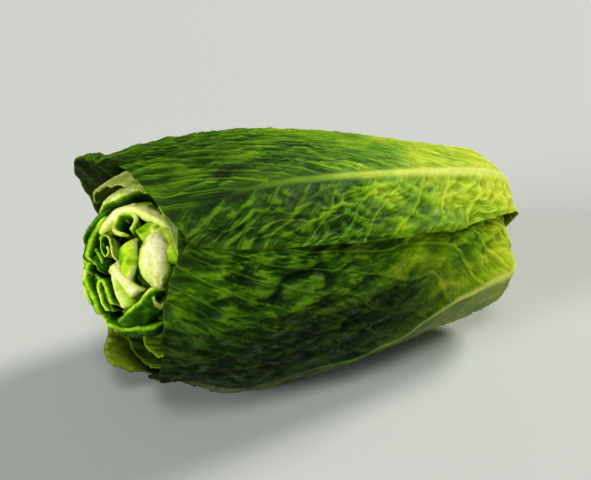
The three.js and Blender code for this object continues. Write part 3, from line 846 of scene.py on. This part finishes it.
def leaf_material(name, tones):
    """tones: blade colours from foot to tip, then its veins, ribs, edges and inner side."""
    n = Nodes(name)
    tone = {key: srgb(*value) for key, value in tones.items() if isinstance(value, tuple)}
    place = n.vector("leaf_place")
    grown, rib, crisp, dark = map(n.attribute, ("grown", "rib", "crisp", "dark"))
    number, along, streaked = (Field(n, output) for output in n.add(
        "SeparateXYZ", {0: n.vector("flow")}).outputs)

    broad = n.noise(place, 0.03, 2.0)
    zone = n.noise(place, (0.022, 0.042, 1.9), 2.0, 0.5, 1.2)
    patch = n.noise(place, (0.05, 0.1, 1.0), 4.0, 0.6, 0.8)
    speck = n.noise(place, 0.6)

    # Veins are the whole numbers of the flow; what lies between them is streaked along them.
    vein_place = n.add("CombineXYZ", {
        0: number * streaked, 1: along * 0.085, 2: grown}).outputs[0]
    streaks = n.noise(vein_place, 1.0, 3.5, 0.6, 0.5)
    fine = n.noise(vein_place, (2.3, 1.3, 1.0), 2.0, 0.5, 0.3)
    # Thin creases along the streaks, and a band beside each vein, are painted shade.
    crease = abs(fine - 0.5).ease(0.045, 0.005) * patch.ease(0.4, 0.6) * crisp
    bent = number + (speck - 0.5) * 0.05
    from_vein = (bent + 0.5).fraction() - 0.5
    line = abs(from_vein).ease(0.065, 0.02)
    shadow = abs(from_vein - 0.1).ease(0.09, 0.03)
    twig = (bent * 3.0 + along * 0.045).fraction() - 0.5
    twig = abs(twig).ease(0.16, 0.04) * patch.ease(0.42, 0.62)
    shown = (1.0 - rib) * (crisp * 0.6 + 0.4) * grown.ease(
        0.25, 1.0, tones["veined"], tones["veined"] * tones["vein_fade"])

    age = grown + (broad - 0.5) * 0.4 + (patch - 0.5) * 0.25 \
        + (zone - 0.5) * grown.ease(0.1, 0.8, 0.2, tones["zoned"])
    blade, light, deep = (n.ramp(age, tones[key]) for key in ("blade", "light", "deep"))
    # Random mottle, with painted light on the relief's ridges and painted shade in its hollows and
    # creases.
    mottle_and_relief_shade = n.attribute("level") * 0.45 + streaks * 0.55 + (patch - 0.5) * 0.5 \
        + (fine - 0.5) * 0.5 * crisp
    for part, over in (
            (mottle_and_relief_shade.ease(0.5, 0.68, 0.0, tones["lit"]), light),
            (mottle_and_relief_shade.ease(0.5, 0.32, 0.0, tones["creased"]), deep),
            (crease * shown * 0.75, deep), (shadow * shown * 0.7, deep),
            (twig * shown * 0.4, light),
            (zone.ease(0.52, 0.72) * grown.ease(0.3, 0.8, 0.0, 0.5 * tones["zoned"]), deep),
            (n.attribute("cover").ease(0.3, 1.0) * 0.6, tone["hidden"])):
        blade = n.blend(part, blade, over)
    # The inner side's tone is painted shade, turning to painted light towards a lit tip.
    inner_shade_and_light = n.blend(n.attribute("bright"), tone["inside"], tone["inside_lit"])
    rib_streak = n.noise(place, (0.02, 0.9, 1.0), 3.0, 0.5).ease(0.3, 0.75, 0.0, 0.6)
    rib_tone = n.blend(rib_streak, tone["rib"], tone["rib_line"])
    glint = n.noise(place, (0.1, 0.28, 1.0), warp=0.6).ease(0.5, 0.72, 0.0, tones["glinted"])
    for part, over, *mode in (
            (n.attribute("inside") * tones["inside_part"], n.blend(0.18, inner_shade_and_light, blade)),
            (line * shown * 0.8, light),
            (rib.ease(0.0, 0.95) * grown.ease(0.5, 1.0, 1.0, tones["rib_fade"]),
             n.blend(grown.ease(0.22, 0.7), rib_tone, light)),
            (n.attribute("margin") * tones["edge_part"], tone["edge"]),
            # the painted shade darkens the colour, and painted glints lie only in it
            (dark * tones["painted_shade_part"], tone["dark"], "MULTIPLY"),
            (n.attribute("pale") * streaks.ease(0.35, 0.6, 0.5, 1.0), tone["pale"]),
            (glint * dark, tone["glint"])):
        blade = n.blend(part, blade, over, *mode)
    colour = n.add("HueSaturation", {
        "Color": blade, "Value": speck.ease(0.25, 0.75, 0.88, 1.12),
        "Hue": broad.ease(0.2, 0.8, 0.49, 0.51)}).outputs[0]

    bump = n.bump((speck + patch) * 0.6 + streaks * 1.2 - crease * 0.5 + line * shown * 0.5,
                  0.35, 0.0008)
    surface = n.surface({
        "Base Color": colour, "Normal": bump,
        "Roughness": streaks.ease(0.3, 0.7, tones["gloss"] + 0.1, tones["gloss"] - 0.06),
        "Specular IOR Level": tones["shine"], "Subsurface Weight": tones["soft"],
        "Subsurface Radius": (0.5, 1.0, 0.15), "Subsurface Scale": 0.0022})
    through = n.add("BsdfTranslucent", {
        "Color": n.blend(0.5, colour, tone["through"]), "Normal": bump})
    return n.finish(n.add("MixShader", {
        0: (1.0 - rib) * tones["thin"], 1: surface, 2: through.outputs[0]}).outputs[0])


OUTER_TONES = {
    "blade": [(0.0, (210, 224, 60)), (0.14, (192, 212, 40)), (0.27, (148, 184, 8)),
              (0.42, (92, 141, 0)), (0.62, (50, 93, 0)), (1.0, (31, 60, 0))],
    "light": [(0.0, (222, 232, 100)), (0.2, (206, 222, 60)), (0.4, (142, 184, 8)),
              (0.65, (98, 147, 2)), (1.0, (88, 132, 10))],
    "deep": [(0.0, (176, 196, 24)), (0.2, (134, 164, 8)), (0.35, (76, 119, 0)),
             (0.55, (23, 55, 0)), (1.0, (7, 27, 0))],
    "pale": (138, 150, 96), "glint": (62, 82, 44), "glinted": 0.8,
    # the inner side's tones: painted shade, and painted light where a tip is lit
    "hidden": (96, 132, 14), "inside": (30, 36, 16), "inside_part": 0.95,
    "inside_lit": (206, 236, 60), "veined": 1.0, "vein_fade": 0.6,
    "rib": (210, 219, 100), "rib_line": (198, 211, 68), "rib_fade": 0.5,
    "edge": (70, 100, 8), "edge_part": 0.3, "through": (120, 180, 10),
    "dark": (66, 76, 62), "painted_shade_part": 0.88, "lit": 0.85, "creased": 0.95, "gloss": 0.52,
    "shine": 0.07, "soft": 0.03, "thin": 0.08, "zoned": 1.2,
}
HEART_TONES = dict(
    OUTER_TONES,
    blade=[(0.0, (238, 240, 190)), (0.35, (214, 226, 120)), (0.65, (150, 196, 20)),
           (1.0, (92, 154, 4))],
    light=[(0.0, (244, 244, 206)), (0.35, (232, 236, 150)), (0.65, (196, 220, 60)),
           (1.0, (150, 196, 24))],
    deep=[(0.0, (190, 200, 110)), (0.35, (140, 176, 40)), (0.65, (70, 128, 0)),
          (1.0, (34, 90, 0))],
    glinted=0.0, hidden=(190, 206, 84), inside=(150, 180, 50), inside_lit=(190, 210, 70),
    vein_fade=0.8, rib=(240, 242, 206), rib_line=(222, 230, 170), rib_fade=0.85,
    edge=(140, 186, 10), edge_part=0.7, through=(190, 226, 40), soft=0.2, thin=0.2, zoned=0.1)
MIDDLE_TONES = dict(
    OUTER_TONES,
    blade=[(0.0, (236, 240, 150)), (0.3, (170, 196, 56)), (0.6, (96, 140, 12)),
           (1.0, (62, 106, 8))],
    hidden=(150, 176, 50), inside=(92, 116, 26))
INNER_TONES = dict(
    HEART_TONES,
    blade=[(0.0, (226, 230, 150)), (0.35, (186, 206, 74)), (0.7, (120, 166, 14)),
           (1.0, (80, 134, 6))])
FOLD_TONES = dict(
    HEART_TONES,
    blade=[(0.0, (252, 253, 212)), (0.2, (232, 244, 120)), (0.4, (168, 214, 20)),
           (0.6, (106, 164, 2)), (0.8, (50, 98, 0)), (1.0, (20, 46, 2))],
    light=[(0.0, (255, 255, 236)), (0.2, (248, 252, 170)), (0.4, (210, 236, 50)),
           (0.6, (146, 204, 10)), (0.8, (80, 144, 4)), (1.0, (36, 82, 6))],
    deep=[(0.0, (224, 232, 130)), (0.2, (184, 208, 50)), (0.4, (112, 168, 8)),
          (0.6, (58, 116, 2)), (0.8, (24, 72, 2)), (1.0, (10, 34, 4))],
    rib=(240, 244, 150), rib_line=(220, 232, 90), rib_fade=1.0, veined=0.3, vein_fade=1.0,
    dark=(34, 46, 16), painted_shade_part=0.9, soft=0.35, thin=0.12)

# ------------------------------------------------------------ camera, light and floor

# From here on, lengths are in metres.
VIEW_TURN, VIEW_RISE, VIEW_ROLL = 28.32, 26.62, 0.65     # the camera's place, in degrees
VIEW_DISTANCE = 0.4901
VIEW_TARGET = Vector((-0.00402, 0.00112, 0.0675))
VIEW_LENS = 54.82
LIGHTS = {      # place, strength and colour
    "key_light": ((1.56, 0.24, 1.37), 2.96, (1.0, 0.97, 0.92)),
    "front_light": ((-0.5, -1.1, 1.9), 1.15, (0.97, 0.99, 1.0)),
    "fill_light": ((-2.1, -0.45, 0.8), 2.4, (0.97, 0.99, 1.0)),
}
LIGHT_SIZE = 20             # in degrees, as seen from the head
SKY, SKY_STRENGTH = (0.80, 0.83, 0.86, 1), 0.2
FLOOR_REACH = 30.0
FLOOR_TONE = (184, 187, 181)

turn, rise, roll = VIEW_TURN * RAD, VIEW_RISE * RAD, VIEW_ROLL * RAD
back = Vector((-math.sin(turn) * math.cos(rise), -math.cos(turn) * math.cos(rise),
               math.sin(rise)))
level_right = Vector((0, 0, 1)).cross(back).normalized()
level_up = back.cross(level_right)
right = level_right * math.cos(roll) + level_up * math.sin(roll)
up = back.cross(right)
camera = new_object("camera", bpy.data.cameras.new("camera"))
camera.data.lens = VIEW_LENS
camera.data.sensor_width = 36
camera.data.clip_start = 0.01
camera.matrix_world = Matrix.Translation(VIEW_TARGET + back * VIEW_DISTANCE) @ Matrix(
    (right, up, back)).transposed().to_4x4()
bpy.context.scene.camera = camera

for light_name, (place, strength, colour) in LIGHTS.items():
    lamp = new_object(light_name, bpy.data.lights.new(light_name, "SUN"))
    lamp.data.angle = LIGHT_SIZE * RAD
    lamp.data.energy = strength
    lamp.data.color = colour
    lamp.location = place
    lamp.rotation_euler = (VIEW_TARGET - lamp.location).to_track_quat("-Z", "Y").to_euler()

world = bpy.data.worlds.new("studio")
bpy.context.scene.world = world
world.use_nodes = True
background = world.node_tree.nodes["Background"]
background.inputs["Color"].default_value = SKY
background.inputs["Strength"].default_value = SKY_STRENGTH
bpy.context.scene.view_settings.view_transform = "Standard"

floor_mesh = bpy.data.meshes.new("floor")
floor_mesh.from_pydata([(x * FLOOR_REACH, y * FLOOR_REACH, 0) for x, y in (
    (-1, -1), (1, -1), (1, 1), (-1, 1))], [], [(0, 1, 2, 3)])
floor = new_object("floor", floor_mesh)
paper = Nodes("floor_paper")
floor_mesh.materials.append(paper.finish(paper.surface({
    "Base Color": srgb(*FLOOR_TONE), "Roughness": 0.9})))

# ------------------------------------------------------------ the leaves, again in mm


def painted_underside_shade(s, height):
    """Painted shade: darker towards the floor and the tip."""
    low_tip = smooth((s - 0.72) / 0.2) * smooth((0.5 - height) / 0.2)
    return smooth((0.65 - height) / 0.26) * smooth((s - 0.12) / 0.4) * (1 + 0.07 * low_tip)


OUTER_LOOK = dict(
    seed=1, rib=(9, 3.6, 18), veins=18, slants=(1, 1), vein_height=0.8, wrinkle=(0.8, 3.0, 14),
    puckers=(12, 9), hollows=(0.5, 0.5), folds=(1.0, 0.4, -0.12), swell=1.0, ruffle=(1.0, 16),
    most=3.0, scallop=0.6, notch=1.0, contrast=1.5, shade=lambda s, height: 0 * s,
    bright=(2.0, 3.0), streaks=(12, 12), stretch=(1, 1), crisp=(1, 1),
    crisp_foot=1.0, age=0.0, young=(0, 0), young_tip=0.0, pale=0.0, blister=None)
HIDDEN_LOOK = dict(OUTER_LOOK, swell=0.8, most=2.5)
LOOKS = {
    "outer_leaf_upper_front": dict(
        OUTER_LOOK, seed=3, slants=(0.9, 2.4), streaks=(6, 7), stretch=(1, 0.4),
        wrinkle=(0.8, 3.0, 26), puckers=(11, 8), hollows=(1.2, 0.3), crisp=(0.25, 1.0),
        young=(0.03, 0.12)),
    "outer_leaf_lower_front": dict(
        OUTER_LOOK, seed=5, shade=painted_underside_shade, puckers=(20, 13), hollows=(2.0, 2.0),
        rib=(9, 2.0, 18), wrinkle=(1.2, 3.6, 10), swell=3.0, contrast=2.2, streaks=(5, 5),
        crisp=(0.35, 0.35), crisp_foot=2.2, age=0.05, young=(-0.03, -0.03), young_tip=0.15,
        pale=0.7, blister=(182, 57, 15, 9)),
    "outer_leaf_upper_back": dict(OUTER_LOOK, seed=7),
    # Its inner side has painted light near the tip and painted shade deeper in.
    "outer_leaf_lower_back": dict(OUTER_LOOK, seed=9, bright=(0.9, 0.975), streaks=(5, 5)),
    "inner_leaf_front": dict(HIDDEN_LOOK, seed=31, age=-0.85),
    "middle_leaf_top": dict(HIDDEN_LOOK, seed=21, age=-0.92),
}
# The heart's leaves lie under its folds and get painted shade all over.
HEART_LOOK = dict(
    OUTER_LOOK, rib=(10, 6.0, 24), veins=12, vein_height=0.5, wrinkle=(0.7, 3, 10),
    puckers=(9, 7), hollows=(1.0, 1.0), folds=(0.0, 0.3, 0.0), ruffle=(1.2, 13),
    scallop=1.2, notch=2.5, bright=(-1.0, 0.0), shade=lambda s, height: 0.75 + 0 * s)


def lip(width, high, tones, wall=7):
    """A blade that comes up to a rounded rim and turns down behind it."""
    low, body, rim = tones
    return [(-width, -3.0, low), (-0.75 * width, -0.4, low), (-0.4 * width, 0.7 * high, body),
            (-1.8, high, body), (-0.2, 0.8 * high, rim), (0.7, 0.1, rim), (0.4, -1.8, 0.5 * rim),
            (-0.6, -wall, 0.15)]


def arch(width, high, tones):
    """A rounded ridge, the same to both sides."""
    low, body, rim = tones
    return [(-width, -5.0, low), (-0.9 * width, -0.5, low), (-0.5 * width, 0.8 * high, body),
            (0, high, rim), (0.5 * width, 0.8 * high, body), (0.9 * width, -0.5, low),
            (width, -5.0, low)]


def frill(high, flare, tones, wall=8):
    """A thin blade that stands up and turns out at its rim."""
    low, body, rim = tones
    return [(-0.3, -wall, low), (0, -0.5 * wall, low), (0, 0.4 * high, body),
            (0.35 * flare, high, rim), (flare, 0.9 * high, rim), (1.25 * flare, 0.2 * high, body)]


# The folded rims that show on the heart: path, profile and settings, from the front round.
FOLDS = {
    "left_rim": (
        [(22, 76), (31, 94), (41, 107), (52, 112), (64, 108)], lip(9, 1.2, (.14, .2, .62)),
        {"k": 0.62}),
    "left_back": (
        [(14, 160), (26, 148), (42, 136), (58, 122), (70, 110)], lip(12, 1.5, (.3, .4, .6)),
        {"k": 0.6}),
    # painted shade: a rim coloured dark where it lies in shade under the pale wedge
    "dark_band": (
        [(26, 140), (37, 128), (48, 119), (62, 111), (79, 107), (92, 104)],
        lip(9, 0.6, (.12, .14, .16)), {"k": 0.67}),
    "pale_wedge": (
        [(46, 132), (54, 118), (63, 104), (80, 97), (92, 93)], lip(13, 1.0, (.78, .84, .8)),
        {"k": 0.73, "ends": (0.4, 0.2)}),
    "crown_wedge": (
        [(34, 156), (46, 142), (58, 128), (74, 112), (90, 100)], lip(13, 1.6, (.15, .2, .5)),
        {"k": 0.66}),
    "crown_side": ([(84, 76), (88, 62), (92, 46), (94, 30)], arch(8, 1.0, (.5, .6, .66)), {}),
    "top_band": ([(40, 118), (50, 112), (64, 106), (84, 100)], arch(6, 2.8, (.7, .9, .98)), {}),
    "lime_band": ([(58, 112), (69, 104), (77, 95), (90, 84)], lip(8, 1.4, (.45, .62, .68)), {}),
    "white_rib": ([(60, 106), (70, 93), (79, 76), (94, 56)], lip(12.5, 3.2, (.94, 1.0, 1.0)), {}),
    "hollow": (
        [(62, 72), (70, 84), (63, 96), (55, 86), (60, 73)], frill(1.4, 2.0, (.25, .5, .7)),
        {"ends": (0.05, 0.05), "wobble": 0.3}),
    "behind_bulge": ([(66, 60), (78, 64), (90, 66)], arch(7, 0.6, (.3, .45, .55)), {}),
    "cream_bulge": (
        [(88, 64), (80, 54), (74, 42), (72, 28), (72, 14)], arch(8.5, 3.0, (.55, .84, .98)),
        {"ends": (0.3, 0.3)}),
    "lime_leaf": ([(50, 22), (57, 34), (61, 48), (64, 66)], lip(12, 2.2, (.4, .55, .7)), {}),
    "spiral": (
        [(42, 48), (45, 69), (45.5, 83), (44, 92), (41, 89), (38, 80), (37, 71), (38.5, 64),
         (41, 68), (41.5, 76)], frill(1.6, 1.0, (.15, .3, .7)),
        {"ends": (0.12, 0.02), "wobble": 0.15, "thickness": 0.8}),
    "spiral_back": (
        [(32, 66), (36, 84), (43, 104), (52, 104)], frill(1.2, 1.4, (.25, .4, .56)), {}),
    "wedge_right": ([(62, 15), (52, 24), (46, 33), (43, 52)], lip(8, 1.8, (.66, .84, .98)), {}),
    "wedge_left": (
        [(44, 54), (38.5, 36), (38, 18), (42, 2), (48, -14)], lip(7, 1.2, (.62, .74, .84)), {}),
    "low_rim": (
        [(78, 14), (69, 16), (63, 10), (56, 1), (48, -18), (42, -38)],
        lip(12, 2.0, (.08, .15, .56)), {}),
    "loop": (
        [(36, -30), (26, -12), (21.5, 9), (24, 30), (29, 33), (33.5, 25), (36.5, 10), (42, -10)],
        frill(2.0, 2.0, (.15, .3, .68)), {"ends": (0.08, 0.1), "wobble": 0.4}),
    "inside_loop": ([(40, -26), (32, -8), (28, 12), (27, 24)], lip(3.5, -0.5, (.1, .2, .4)), {}),
    "near_curl": ([(8, 150), (18, 100), (25, 68), (25, 42)], lip(7, 1.4, (.08, .14, .55)), {}),
    "centre": (
        [(34, -26), (24, 0), (16, 26), (10, 60), (8, 120)], lip(7, 0.2, (.12, .22, .5)),
        {"k": 0.585}),
    "dark_fold": ([(24, 120), (32, 96), (33, 70), (31, 48)], frill(0.8, 1.4, (.2, .3, .5)), {}),
    "edge_rim": (
        [(34, -60), (22, -44), (12, -30), (3, -10), (10, 150)], lip(10, 1.6, (.08, .14, .55)),
        {"ends": (0.08, 0.15)}),
    "under_rim": (
        [(80, -14), (66, -20), (54, -32), (44, -56), (38, -80)], lip(10, 1.2, (.12, .18, .46)),
        {}),
    "back_rim": ([(30, -90), (18, -130), (20, 170), (36, 150)], lip(14, 1.8, (.35, .5, .7)), {}),
    "back_bulge": (
        [(36, -138), (39, -160), (45, 178), (56, 164)], arch(9, 2.0, (.4, .7, .92)),
        {"ends": (0.4, 0.4)}),
    "back_low": ([(64, -80), (48, -100), (44, -130), (54, -160)], lip(14, 1.6, (.4, .5, .74)), {}),
    "back_top": ([(70, -170), (56, 176), (54, 158), (64, 136)], lip(12, 1.6, (.45, .6, .8)), {}),
}
materials = {
    "outer": leaf_material("outer_leaf", OUTER_TONES),
    "middle": leaf_material("middle_leaf", MIDDLE_TONES),
    "inner": leaf_material("inner_leaf", INNER_TONES),
    "heart": leaf_material("heart_leaf", HEART_TONES),
    "fold": leaf_material("heart_fold", FOLD_TONES),
}


def dress(piece, material, solid=None):
    piece.data.materials.append(material)
    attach(piece, "root")
    if solid:
        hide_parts(solid)


def grow(leaf, look):
    kind = leaf.name.split("_")[0]
    dress(build_leaf(leaf, look), materials[kind], leaf.name)


for n, leaf_name in enumerate(OPEN_LEAVES):
    grow(OpenLeaf(leaf_name), LOOKS.get(leaf_name) or dict(HIDDEN_LOOK, seed=11 + 2 * n))
for n in range(HEART_COUNT):
    grow(HeartLeaf(n), dict(HEART_LOOK, seed=41 + 2 * n))
for n, (fold_name, (path, profile, settings)) in enumerate(FOLDS.items()):
    dress(build_fold("heart_fold_" + fold_name, path, profile, 101 + 7 * n, **settings),
          materials["fold"])

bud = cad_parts["heart_bud"]
nodes = Nodes("heart_bud")
mottle = nodes.noise(nodes.add("TexCoord").outputs["Object"], 60)
bud.data.materials.clear()
bud.data.materials.append(nodes.finish(nodes.surface({
    "Base Color": nodes.ramp(mottle, [(0.3, (190, 214, 90)), (0.7, (232, 238, 170))]),
    "Roughness": 0.5})))


def build_stem(sides=96):
    """The stem with its cut face: rings from the middle of the cut to the hidden end."""
    radius = float(stem_radius(0))
    rings = [(0.0, radius * t, t) for t in np.linspace(0.04, 0.93, 26)]
    rings += [(0.25, radius * 0.965, 0.97), (0.8, radius * 0.99, 1.0)]
    rings += [(a, float(stem_radius(a)), 1.0) for a in np.linspace(STEM_CHAMFER, STEM_LENGTH, 30)]
    along, ring_radius, part = (np.array(column)[:, None] for column in zip(*rings))
    angle = (np.arange(sides) * 360 / sides * RAD)[None]
    y, z = ring_radius * np.sin(angle), ring_radius * np.cos(angle)
    face = 1 - smooth((part - 0.9) / 0.1)
    worn = 0.35 * rough_noise(y / 5, z / 5, 401) + 0.25 * noise(y / 1.3, z / 1.3, 402) \
        + 0.12 * np.sin(part * 46 + 2 * noise(y / 6, z / 6, 403))
    ribbed = 0.35 * noise(angle / 0.16, along / 14, 404) * (1 - face)
    x = NEST_CENTRE - along - face * (0.5 + worn)
    grid = lay_over(x, y + ribbed * np.sin(angle), z + ribbed * np.cos(angle))
    points = np.concatenate([grid.reshape(-1, 3), grid[:1].mean(1), grid[-1:].mean(1)])
    middle, end = len(points) - 2, len(points) - 1
    number = np.arange(middle).reshape(-1, sides)
    ahead = np.roll(number, -1, axis=1)
    faces = np.stack([number[:-1], number[1:], ahead[1:], ahead[:-1]], -1).reshape(-1, 4).tolist()
    rings, onward = number.tolist(), ahead.tolist()
    faces += [(middle, i, j) for i, j in zip(rings[0], onward[0])]
    faces += [(end, j, i) for i, j in zip(rings[-1], onward[-1])]
    mesh = new_mesh("stem_fine", points, faces)
    for key, value in (("part", part), ("face", face)):
        set_attribute(mesh, key, np.r_[np.repeat(value, sides), value[0], value[-1]])
    mesh.update()
    return new_object("stem_fine", mesh)


def stem_material():
    """Cream flesh with a ring of darker strands, browned where the cut has dried."""
    n = Nodes("stem_cut")
    place = n.scaled(n.add("TexCoord").outputs["Object"], (1 / MM,) * 3)
    part = n.attribute("part")
    face = n.attribute("face")
    mottle = n.noise(place, 0.22, 4.0, 0.6)
    grain = n.noise(place, 1.6, 3.0, 0.6)
    flesh = n.ramp(mottle, [(0.3, (214, 202, 150)), (0.5, (232, 226, 186)),
                            (0.7, (238, 238, 208))])
    strands = abs(part - 0.68).ease(0.16, 0.02) * grain.ease(0.5, 0.66)
    flesh = n.blend(strands * face * 0.7, flesh, srgb(176, 176, 96))
    dried = (part.ease(0.78, 1.0) + mottle.ease(0.52, 0.36, 0.0, 0.6)) * face
    flesh = n.blend(n.math("MULTIPLY", dried, 0.75, clamp=True), flesh,
                    n.ramp(grain, [(0.35, (142, 96, 44)), (0.65, (196, 152, 84))]))
    side = n.ramp(mottle, [(0.3, (206, 216, 140)), (0.7, (232, 236, 190))])
    return n.finish(n.surface({
        "Base Color": n.blend(face, side, flesh), "Roughness": grain.ease(0.3, 0.7, 0.5, 0.72),
        "Specular IOR Level": 0.25, "Subsurface Weight": 0.1,
        "Subsurface Radius": (0.8, 0.8, 0.3), "Subsurface Scale": 0.002,
        "Normal": n.bump(grain + mottle, 0.4, 0.0006)}))


dress(build_stem(), stem_material(), "stem")
